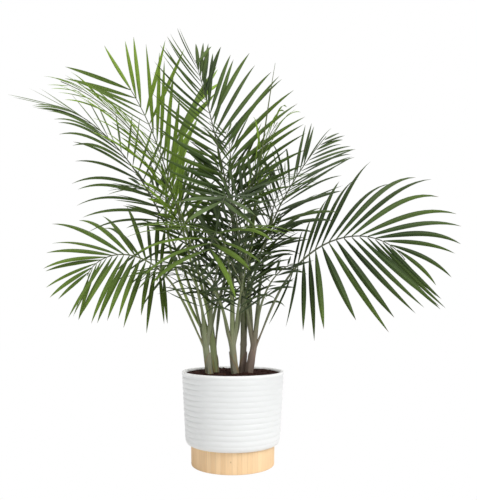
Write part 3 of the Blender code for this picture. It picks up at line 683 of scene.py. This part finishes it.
class PALM_OT_soil(bpy.types.Operator):
    """Fill the planter with lumpy soil"""

    bl_idname = "palm.soil"
    bl_label = "Soil"

    def execute(self, context):
        skin = Skin()
        skin.tubes(soil_grid())
        chips, traits = chip_grids()
        skin.tubes(chips, traits=traits)
        add_piece("peat_bed", skin, 60, [peat_finish(context.scene.palm_planter)], "soil")
        return {"FINISHED"}


# ---- lines of growth
def stem_axis(stem):
    """Where a stem's axis leaves the soil, its top, and its direction."""
    soil_point = np.array([*stem.foot, SOIL_HEIGHT])
    top = np.array(stem.top)
    return soil_point, top, unit(top - soil_point)


def seats():
    """Where each frond and the spear leave their stem: {name: (point, direction,
    outward)}. The fronds stand evenly round the stem's top, each as near its own
    heading as it can, and the spear stands in the middle."""
    found = {}
    for stem_name, stem in STEMS.items():
        _, top, direction = stem_axis(stem)
        held = {n: f.heading for n, f in FRONDS.items() if f.stem == stem_name}
        order = sorted(held, key=held.get)
        step = 2 * pi / len(order)
        lean = [radians(held[name]) - step * k for k, name in enumerate(order)]
        start = float(np.angle(np.mean(np.exp(1j * np.array(lean)))))
        level = np.array([[1.0, 0, 0], [0, 1.0, 0]])
        level = unit(level - np.outer(level @ direction, direction))
        for k, name in enumerate(order):
            angle = start + step * k
            offset = cos(angle) * level[0] + sin(angle) * level[1]
            found[name] = (top + SEAT_RADIUS * offset + GAP * direction, direction, offset)
        if SPEAR.stem == stem_name:
            found["spear"] = (top + GAP * direction, direction, level[0])
    return found


def rachis(frond, foot, samples=49):
    """The line of a frond from its foot: shares of its length, points, directions,
    and the blade's sideways and upward vectors. The slope falls from rise by bend
    times share to the power late, while the heading turns by sweep."""
    share = np.linspace(0, 1, samples)
    slope = np.radians(frond.rise - frond.bend * share**frond.late)
    compass = np.radians(frond.heading + frond.sweep * share)
    ahead = np.stack([np.cos(slope) * np.cos(compass), np.cos(slope) * np.sin(compass),
                      np.sin(slope)], axis=1)
    steps = (ahead[1:] + ahead[:-1]) / 2 * frond.length / (samples - 1)
    points = np.vstack([np.zeros(3), np.cumsum(steps, axis=0)]) + foot
    side = np.stack([np.sin(compass), -np.cos(compass), 0 * compass], axis=1)
    up = np.cross(side, ahead)
    turn = np.radians(frond.roll + frond.twist * share)[:, None]
    return share, points, ahead, *swung(side, up, turn)


def at(line, share):
    """The points and the three directions of a rachis at shares of its length."""
    shares, *rows = line
    found = [np.stack([np.interp(share, shares, row[:, k]) for k in range(3)], -1) for row in rows]
    return found[0], unit(found[1]), unit(found[2]), unit(found[3])


def rachis_radius(share):
    """Half the thickness, which falls from the petiole's to the tip's as
    (1 - share)**1.2."""
    return RACHIS_TIP_RADIUS + (PETIOLE_RADIUS - RACHIS_TIP_RADIUS) * (1 - share) ** 1.2


def leaflet_share(frond, place):
    """A leaflet's share of the longest: it rises as a sine from the first to the longest
    place, and then falls as a power of the way to the tip."""
    first, last = frond.ends
    if place < LONGEST:
        return first + (1 - first) * sin(place / LONGEST * pi / 2)
    return 1 - (1 - last) * ((place - LONGEST) / (1 - LONGEST)) ** 1.8


def stray(name, pair, sign):
    """Four numbers that make this leaflet differ from its neighbours."""
    chance = Random(f"{name} {pair} {sign}")
    return [most * FRONDS[name].wild * chance.uniform(-1, 1) for most in STRAY]


def leaflet_line(frond, line, place, sign, own, attempt, samples=9):
    """The middle line of one leaflet, with its widthways and upward vectors. It leaves
    the rachis at its side's angle, pulled down by fall, and then sinks by the tangent of
    its droop times share**2.2. own holds its stray numbers and attempt the changes that
    found it room."""
    turn, lift, shorter = attempt[0] + own[0], attempt[1] + own[1], attempt[2] * (1 + own[3])
    point, ahead, side, up = at(line, frond.bare + (1 - frond.bare) * place)
    first, last = frond.right if sign > 0 else frond.left
    angle = radians(first + (last - first) * place**frond.curve + turn)
    raised = radians(frond.lift + lift)
    out = sign * side * cos(raised) + up * sin(raised)
    normal = sign * np.cross(out, ahead)
    start = unit(cos(angle) * ahead + sin(angle) * out - np.array([0, 0, frond.fall]))
    share = np.linspace(0, 1, samples)[:, None]
    droop = radians(frond.droop[0 if sign > 0 else 1] * (1 + own[2]))
    course = unit(start - share**2.2 * tan(droop) * np.array([0, 0, 1.0]))
    length = frond.leaflet * leaflet_share(frond, place) * shorter
    steps = (course[1:] + course[:-1]) / 2 * length / (samples - 1)
    points = np.vstack([np.zeros(3), np.cumsum(steps, axis=0)])
    # Every foot is as far out as the rachis is thick at its first leaflet, as in the
    # solid, and further on the rachis is slimmer than that.
    points += point + sign * side * rachis_radius(frond.bare)
    wide = unit(np.cross(course, normal))
    tall = np.cross(wide, course)
    edge = radians(frond.edge[0] if sign > 0 else frond.edge[1])
    return points, *swung(wide, tall, edge)


def leaflet_lines(name, line):
    """The lines of a frond's leaflets, as the solid has them: the first try whose tip is
    one of the solid's corners. One that the solid left out is left out here."""
    frond = FRONDS[name]
    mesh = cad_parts[name].data
    corners = np.empty(len(mesh.vertices) * 3)
    mesh.vertices.foreach_get("co", corners)
    corners = corners.reshape(-1, 3)
    kept = []
    for pair, place in enumerate((np.arange(frond.pairs) + 0.4) / frond.pairs):
        for sign in (1, -1):
            own = stray(name, pair, sign)
            for attempt in TRIES:
                leaf = leaflet_line(frond, line, place, sign, own, attempt)
                if np.abs(corners - leaf[0][-1]).max(axis=1).min() < GAP:
                    kept.append((pair, place, sign, own, attempt))
                    break
    return kept


# ---- fronds
FOOT_SHARE = 0.26  # how wide a leaflet is at its foot, as a share of its widest
LEAST_WIDE = 0.62  # how wide the shortest leaflets are, as a share of the longest
BLADE_THICK = 0.00055
BLADE_TWIST = 26  # most that a leaflet turns about its rib by its point, in degrees


def blade_grids(name, line, look):
    """A frond's leaflets as thin closed blades. Along a leaflet its half width rises as
    a sine from its foot to its widest place, and past that, at a share x of the rest,
    it falls as (1 - x**2.1)**0.9 to its point. Both halves hang from the rib by the
    fold, which is tighter at the foot. Its ring is the left edge, the rib, the right
    edge and the rib's underside."""
    frond = FRONDS[name]
    share = np.linspace(0, 1, BLADE_ROWS)
    rise = FOOT_SHARE + (1 - FOOT_SHARE) * np.sin(np.clip(share / WIDEST, 0, 1) * pi / 2)
    fall = (1 - np.clip((share - WIDEST) / (1 - WIDEST), 0, 1) ** 2.1) ** 0.9
    outline = np.maximum(rise * fall, 0.025)
    fold = look.fold * (1 + 1.6 * np.exp(-share / 0.07))
    grids, traits = [], []
    for pair, place, sign, own, attempt in leaflet_lines(name, line):
        chance = Random(f"{name} {pair} {sign} looks")
        middle, wide, tall = leaflet_line(frond, line, place, sign, own, attempt, BLADE_ROWS)
        stout = LEAST_WIDE + (1 - LEAST_WIDE) * leaflet_share(frond, place)
        half = look.width / 2 * frond.width * stout * outline
        half = (half * chance.uniform(0.88, 1.10))[:, None]
        turn = (radians(chance.uniform(-BLADE_TWIST, BLADE_TWIST)) * share**1.5)[:, None]
        wide, tall = swung(wide, tall, turn)
        hang, reach = half * np.sin(fold)[:, None], half * np.cos(fold)[:, None]
        under = BLADE_THICK * np.minimum(1, outline * 1.5)[:, None]
        grids.append(np.stack([middle - wide * reach - tall * hang, middle,
                               middle + wide * reach - tall * hang, middle - tall * under], 1))
        traits.append((chance.uniform(0, 1), frond.fresh + chance.uniform(-0.10, 0.10),
                       frond.pale + chance.uniform(-0.08, 0.08)))
    across = np.array([0, 0.5, 1, 1.5, 2])
    uv = np.stack(np.broadcast_arrays(across[None, :], share[:, None]), -1)[None]
    return np.array(grids), uv, np.clip(traits, 0, 1)[:, None, None]


def strip_rings(middle, across, outward, half, curl, thick, hollow):
    """Closed rings of a strip bent about the line it runs along. The point at u across,
    from -1 to 1, turns by curl times half times u on a circle of radius 1/curl; it lies
    thick times sqrt(1 - u*u) outside that on the way out, and hollow times as far
    inside it on the way back."""
    lap = np.linspace(-pi / 2, pi / 2, STRIP + 1)
    u = np.concatenate([np.sin(lap), np.sin(lap)[::-1][1:-1]])
    outer = np.arange(len(u)) <= STRIP
    turn = (curl * half)[:, None] * u
    depth = thick[:, None] * np.sqrt(1 - u * u) * np.where(outer, 1.0, -hollow[:, None])
    x = np.sin(turn) / curl[:, None] + np.sin(turn) * depth
    y = (np.cos(turn) - 1) / curl[:, None] + np.cos(turn) * depth
    points = middle[:, None] + across[:, None] * x[..., None] + outward[:, None] * y[..., None]
    return points[None]


def strip_uv(along):
    """0 to 1 across the outer face and 1 to 2 back across the inner one, and tenths of a
    metre along."""
    lap = (np.sin(np.linspace(-pi / 2, pi / 2, STRIP + 1)) + 1) / 2
    across = np.concatenate([lap, 1 + lap[1:]])
    return np.stack(np.broadcast_arrays(across[None, :], 10 * along[:, None]), -1)[None]


SHEATH_BELOW = 0.006  # how far a sheath goes below the soil
SHEATH_FIRST, SHEATH_LAYER = 0.0003, 0.0006  # how far out the first layer is, and each next
FLARE, FLARE_REACH = 0.0020, 0.075  # how much a petiole widens into its sheath, and over what


def stalk_grid(name, line, seat, rank):
    """A frond's stalk: a sheath that wraps the stem from below the soil, rank layers
    out, narrows to a channelled petiole, and slims into the rachis. Its back faces
    outwards on the stem, and spins round to the blade's underside on the way up."""
    frond, stem = FRONDS[name], STEMS[FRONDS[name].stem]
    point, direction, outward = seat
    deep = np.linalg.norm(point - stem_axis(stem)[0]) + SHEATH_BELOW
    below = np.linspace(-deep, -0.004, SHEATH_ROWS)
    down = -below / deep
    ring_radius = SEAT_RADIUS + down * (SHEATH_FIRST + SHEATH_LAYER * rank)
    sheath = point + (direction * below[:, None]) + outward * (ring_radius - SEAT_RADIUS)[:, None]
    share = np.concatenate([np.linspace(0, 1, 20)[:-1] ** 1.6 * frond.bare,
                            np.linspace(frond.bare, 1, 26)])
    middle, ahead, _, up = at(line, share)
    above = share * frond.length
    near = np.exp(-((above / 0.07) ** 2))
    radius = rachis_radius(share)
    stout = 1.15 + 0.45 * (1 - smooth(share / frond.bare))
    flare = FLARE * np.exp(-above / FLARE_REACH)
    start = unit(outward - (outward @ ahead[0]) * ahead[0])
    spin = np.arctan2(np.cross(-up[0], start) @ ahead[0], -up[0] @ start)
    spin = (spin * (1 - smooth(share / (0.7 * frond.bare))))[:, None]
    out = -up * np.cos(spin) + np.cross(ahead, -up) * np.sin(spin)
    middle = np.vstack([sheath, middle])
    out = np.vstack([np.broadcast_to(outward, sheath.shape), out])
    course = np.vstack([np.broadcast_to(direction, sheath.shape), ahead])
    half = np.concatenate([(1.12 + 1.15 * down**0.8) * ring_radius, radius * stout + flare])
    curl = np.concatenate([1 / ring_radius, np.exp(-((above / 0.03) ** 2)) / SEAT_RADIUS + 4])
    thick = np.concatenate([0.0008 + 0.0007 * (1 - down) ** 2, radius * (1.17 * stout - 1.20 * near)])
    hollow = np.concatenate([np.full(SHEATH_ROWS, 0.3), 0.30 + 0.55 * smooth(above / 0.25)])
    grid = strip_rings(middle, np.cross(course, out), out, half, curl, thick, hollow)
    return grid, strip_uv(np.concatenate([below, above]))


VEIN_WAVES = 31.4  # in radians: five fine veins across each half of a leaflet
RIB_GROWN, RIB_YOUNG = (0.130, 0.210, 0.060), (0.360, 0.480, 0.110)
DRY_BROWN = (0.170, 0.110, 0.050)
STALK_GROWN, STALK_YOUNG = (0.150, 0.165, 0.098), (0.280, 0.360, 0.110)
HUSK_OLIVE, HUSK_BROWN = (0.400, 0.410, 0.300), (0.250, 0.190, 0.155)
PAPER_OCHRE = (0.330, 0.190, 0.070)


def leaf_finish(look):
    """A leaflet: a paler rib, fine veins along it, its own tone of green that is fresher
    towards the point, a dull pale underside, a dry point on some, and painted shade that
    darkens it and takes away its sheen near the crown's middle."""
    paint = Paint("leaf_blade", Specular_IOR_Level=0.04, Coat_Roughness=0.4)
    across, along, off = paint.strip()
    tone, fresh, pale = paint.traits()
    under = across > 1.0
    grown = paint.mix(tone, tuple(look.deep), tuple(look.grown))
    lively = fresh * paint.span(along, 0.0, 0.5, 0.78, 1.0) + 0.10 * paint.span(along, 0.25, 0.95)
    color = paint.mix(lively, grown, tuple(look.young))
    color = paint.mix(paint.span(pale, 0.0, 1.0), color, tuple(look.glaucous))
    streak = paint.noise(paint.join(across * 14.0, along * 2.2, tone * 40.0), 1.0, 3.0)
    patch = paint.noise(paint.place(), 9.0, 2.0)
    # Painted shade: leaves are darkened towards the crown's middle, as the dense crown would shade
    # them.
    x, y, z = paint.parts(paint.place())
    z = z - CROWN_HEIGHT
    depth = (x * x + y * y + z * z) ** 0.5
    clear_of_painted_shade = paint.span(depth, PAINTED_SHADE_FULL_REACH, PAINTED_SHADE_END_REACH)
    color = paint.scaled(color, (0.62 + 0.46 * streak) * (0.72 + 0.56 * patch)
                         * (PAINTED_SHADE_KEPT + (1 - PAINTED_SHADE_KEPT) * clear_of_painted_shade))
    vein = paint.node("ShaderNodeMath", {0: off * VEIN_WAVES}, operation="SINE")
    color = paint.scaled(color, 1.0 + 0.07 * vein)
    rib = paint.span(off, 0.13, 0.02) * (1.0 - 0.6 * along)
    foot = paint.span(along, 0.10, 0.0)
    fair = paint.mix(fresh, RIB_GROWN, RIB_YOUNG)
    color = paint.mix(rib * 0.55, color, fair)
    color = paint.mix(foot * 0.30, color, fair)
    color = paint.mix(under * 0.35, color, tuple(look.glaucous))
    dry = paint.span(along + 0.045 * tone + 0.02 * streak, 1.0, 1.035)
    # The coat's sheen also fades in the painted shade near the crown's middle.
    paint.feed(Base_Color=paint.mix(dry * 0.8, color, DRY_BROWN),
               Roughness=0.36 + 0.20 * under + 0.14 * streak, Coat_Weight=0.15 * clear_of_painted_shade,
               Normal=paint.bump(vein * 0.5 + streak, 0.00025))
    return paint.material


def stalk_finish():
    """Sheath, petiole and rachis: brownish and dull in the soil, its margins papery and
    ochre, then smooth green, with long pale fibres all the way."""
    paint = Paint("leaf_stalk", Specular_IOR_Level=0.18)
    across, along, margin = paint.strip()
    tone, fresh, brown = paint.traits()
    fibre = paint.noise(paint.join(across * 16.0, along * 0.9, tone * 30.0), 1.0, 4.0, 0.6)
    patch = paint.noise(paint.place(), 38.0, 3.0)
    green = paint.mix(fresh, STALK_GROWN, STALK_YOUNG)
    green = paint.mix(paint.span(along, 1.2, 4.0), green, paint.scaled(green, 0.45))
    husk = paint.mix(brown, HUSK_OLIVE, HUSK_BROWN)
    low = paint.span(along + 0.5 * (patch - 0.5), 0.9, -0.3)
    color = paint.mix(low * (0.30 + 0.7 * brown), green, husk)
    papery = paint.span(margin, 0.80, 1.0) * paint.span(along, 0.5, -0.1)
    color = paint.mix(papery * 0.75, color, PAPER_OCHRE)
    paint.feed(Base_Color=paint.scaled(color, 0.66 + 0.68 * fibre), Roughness=0.42 + 0.25 * low,
               Normal=paint.bump(fibre, 0.0005))
    return paint.material


class PALM_OT_fronds(bpy.types.Operator):
    """Grow every frond: sheath, petiole, rachis and leaflets"""

    bl_idname = "palm.fronds"
    bl_label = "Fronds"

    def execute(self, context):
        look = context.scene.palm_leaf
        finishes = [leaf_finish(look), stalk_finish()]
        found = seats()
        for name, frond in FRONDS.items():
            line = rachis(frond, found[name][0])
            kin = sorted((f.rise, n) for n, f in FRONDS.items() if f.stem == frond.stem)
            rank = len(kin) - 1 - [n for _, n in kin].index(name)
            skin = Skin()
            skin.tubes(*blade_grids(name, line, look))
            grid, uv = stalk_grid(name, line, found[name], rank)
            tone = Random(name).uniform(0, 1)
            skin.tubes(grid, uv, np.array([tone, frond.fresh, STEMS[frond.stem].brown]), 1)
            add_piece(name + "_grown", skin, 34, finishes, name)
        return {"FINISHED"}


# ---- stems and spear
BURIED = 0.030  # a stem's length below the soil
HUSK_DEEP = 0.012  # an old sheath's length below the soil
HUSK_GAP = 0.0012  # between a stem and the old sheath round it
HUSK_THICK = 0.0006
SPEAR_RADIUS, SPEAR_TIP = 0.0032, 0.0004
STEM_ROWS, HUSK_ROWS, SPEAR_ROWS = 12, 16, 60  # stations along each
ROD_CURL = 4.0  # a strip that goes all the way round hardly bends


class PALM_OT_stems(bpy.types.Operator):
    """Make the stems that the fronds rise from, each with an old sheath round it"""

    bl_idname = "palm.stems"
    bl_label = "Stems"

    def execute(self, context):
        finish = stalk_finish()
        for name, stem in STEMS.items():
            skin = Skin()
            soil_point, top, direction = stem_axis(stem)
            level = unit(np.cross(direction, [0, 0, 1.0]) + np.array([1e-9, 0, 0]))
            chance = Random(name)
            length = np.linalg.norm(top - soil_point)
            along = np.linspace(-BURIED, length, STEM_ROWS)
            middle = soil_point + direction * along[:, None]
            front = np.cross(direction, level)
            across, outward = (np.broadcast_to(v, middle.shape) for v in (level, front))
            core = np.interp(along, [-BURIED, 0, length], [0.0052, 0.0048, 0.0040])
            rod = strip_rings(middle, across, outward, core, np.full(STEM_ROWS, ROD_CURL), core,
                              np.ones(STEM_ROWS))
            traits = np.array([chance.uniform(0, 1), 0.1, stem.brown])
            skin.tubes(rod, strip_uv(along - length), traits)
            husk = np.linspace(-HUSK_DEEP, length * chance.uniform(0.55, 0.95), HUSK_ROWS)
            share = (husk + HUSK_DEEP) / (husk[-1] + HUSK_DEEP)
            middle = soil_point + direction * husk[:, None]
            turn = chance.uniform(0, 2 * pi)
            out = cos(turn) * level + sin(turn) * front
            radius = stem.foot_radius + HUSK_GAP - 0.0006 * share
            middle = middle + out * radius[:, None]
            out = np.broadcast_to(out, middle.shape)
            half = radius * (2.9 * (1 - share**1.6) ** 0.8 + 0.03)
            across = np.cross(np.broadcast_to(direction, out.shape), out)
            wrap = strip_rings(middle, across, out, half, 1 / radius, np.full(HUSK_ROWS, HUSK_THICK),
                               np.full(HUSK_ROWS, 0.5))
            traits = np.array([chance.uniform(0, 1), 0.0, min(1, stem.brown + 0.25)])
            skin.tubes(wrap, strip_uv(husk - length), traits)
            add_piece(name + "_sheathed", skin, 50, [finish], name)
        return {"FINISHED"}


class PALM_OT_spear(bpy.types.Operator):
    """Make the unopened leaf: a rolled rod that tapers to a point"""

    bl_idname = "palm.spear"
    bl_label = "Spear leaf"

    def execute(self, context):
        line = rachis(SPEAR, seats()["spear"][0])
        share = np.linspace(0, 0.99, SPEAR_ROWS)
        middle, ahead, side, up = at(line, share)
        # It swells from a slim foot, then falls as 1 - share**2.5 to its point.
        radius = np.minimum(SPEAR_RADIUS * (1 - share**2.5) + SPEAR_TIP, 0.0020 + share * 0.01)
        radius *= 1 + 0.05 * np.sin(share * 46)
        turn = (5.0 * share)[:, None]
        out = up * np.cos(turn) + side * np.sin(turn)
        grid = strip_rings(middle, np.cross(ahead, out), out, radius,
                           np.full(SPEAR_ROWS, ROD_CURL), radius, np.full(SPEAR_ROWS, 0.82))
        skin = Skin()
        skin.tubes(grid, strip_uv(share * SPEAR.length), np.array([0.4, 0.75, 0.1]))
        add_piece("spear_rolled", skin, 50, [stalk_finish()], "spear_leaf")
        return {"FINISHED"}


# ---- stage
CAMERA_AT = (0.0142, -1.4, 0.366)
FLOOR_REACH = 9
LAMPS = {  # compass direction it shines from, height, spread, and share of the key's strength
    "key": (-44, 40, 30, 1.0),
    "top": (100, 78, 80, 0.72),
    "fill": (215, 25, 60, 0.11),
}


def add_lamp(name, heading, height, spread, strength):
    """A far lamp that shines from a direction, with soft shadows; all in degrees."""
    data = bpy.data.lights.new(name, "SUN")
    data.energy, data.angle = strength, radians(spread)
    lamp = add_object(name, data)
    lamp.rotation_euler = (pi / 2 - radians(height), 0, radians(heading) + pi / 2)


def seen_white(tree, lit, white, output):
    """The camera sees the white shader, and the plant is lit by the other one."""
    choice, path = (tree.nodes.new(kind) for kind in ("ShaderNodeMixShader", "ShaderNodeLightPath"))
    tree.links.new(path.outputs["Is Camera Ray"], choice.inputs[0])
    tree.links.new(lit.outputs[0], choice.inputs[1])
    tree.links.new(white.outputs[0], choice.inputs[2])
    tree.links.new(choice.outputs[0], tree.nodes[output].inputs["Surface"])


def white_surroundings(strength):
    """A white world that is seen at full strength and lights at the given one."""
    world = bpy.data.worlds.new("white_surroundings")
    world.use_nodes = True
    nodes = world.node_tree.nodes
    white, lit = nodes["Background"], nodes.new("ShaderNodeBackground")
    for shade, power in ((white, 1.0), (lit, strength)):
        shade.inputs["Color"].default_value = (1, 1, 1, 1)
        shade.inputs["Strength"].default_value = power
    seen_white(world.node_tree, lit, white, "World Output")
    return world


def white_floor(shade):
    """A floor that is seen white and lights the plant as a grey one would."""
    paint = Paint("white_floor", Base_Color=(shade, shade, shade), Roughness=0.9,
                  Specular_IOR_Level=0.0)
    white = paint.node("ShaderNodeEmission", {"Color": (1, 1, 1)}).socket.node
    seen_white(paint.tree, paint.shader, white, "Material Output")
    return paint.material


class PALM_OT_stage(bpy.types.Operator):
    """Set the pale floor, the lamps and the camera"""

    bl_idname = "palm.stage"
    bl_label = "Stage"

    def execute(self, context):
        look = context.scene.palm_stage
        mesh = bpy.data.meshes.new("floor")
        far = FLOOR_REACH
        mesh.from_pydata([(-far, -far, 0), (far, -far, 0), (far, far, 0), (-far, far, 0)], [],
                         [(0, 1, 2, 3)])
        mesh.materials.append(white_floor(look.floor))
        floor = add_object("floor", mesh)
        context.scene.world = white_surroundings(look.sky)
        context.scene.view_settings.view_transform = "Standard"
        for name, (heading, height, spread, share) in LAMPS.items():
            add_lamp(name, heading, height, spread, share * look.key)
        data = bpy.data.cameras.new("camera")
        data.lens = look.lens
        camera = add_object("camera", data)
        camera.location = CAMERA_AT
        camera.rotation_euler = (pi / 2 + look.pitch, 0, 0)
        context.scene.camera = camera
        return {"FINISHED"}


# ---- add-on
OPERATORS = (PALM_OT_planter, PALM_OT_timber, PALM_OT_soil, PALM_OT_stems, PALM_OT_fronds,
             PALM_OT_spear, PALM_OT_stage)
GROUPS = {"palm_planter": PlanterSettings, "palm_leaf": LeafSettings, "palm_stage": StageSettings}


class PALM_PT_panel(bpy.types.Panel):
    """Lists the settings and the pieces"""

    bl_idname = "PALM_PT_panel"
    bl_label = "Potted palm"
    bl_space_type = "VIEW_3D"
    bl_region_type = "UI"
    bl_category = "Palm"

    def draw(self, context):
        for group, kind in GROUPS.items():
            box = self.layout.box()
            for setting in kind.__annotations__:
                box.prop(getattr(context.scene, group), setting)
        for operator in OPERATORS:
            self.layout.operator(operator.bl_idname)


def register():
    for kind in (*GROUPS.values(), *OPERATORS, PALM_PT_panel):
        bpy.utils.register_class(kind)
    for name, kind in GROUPS.items():
        setattr(bpy.types.Scene, name, bpy.props.PointerProperty(type=kind))


def unregister():
    for name in GROUPS:
        delattr(bpy.types.Scene, name)
    for kind in (PALM_PT_panel, *OPERATORS[::-1], *GROUPS.values()):
        bpy.utils.unregister_class(kind)


def main():
    register()
    for operator in OPERATORS:
        group, name = operator.bl_idname.split(".")
        getattr(getattr(bpy.ops, group), name)()


if __name__ == "__main__":
    main()
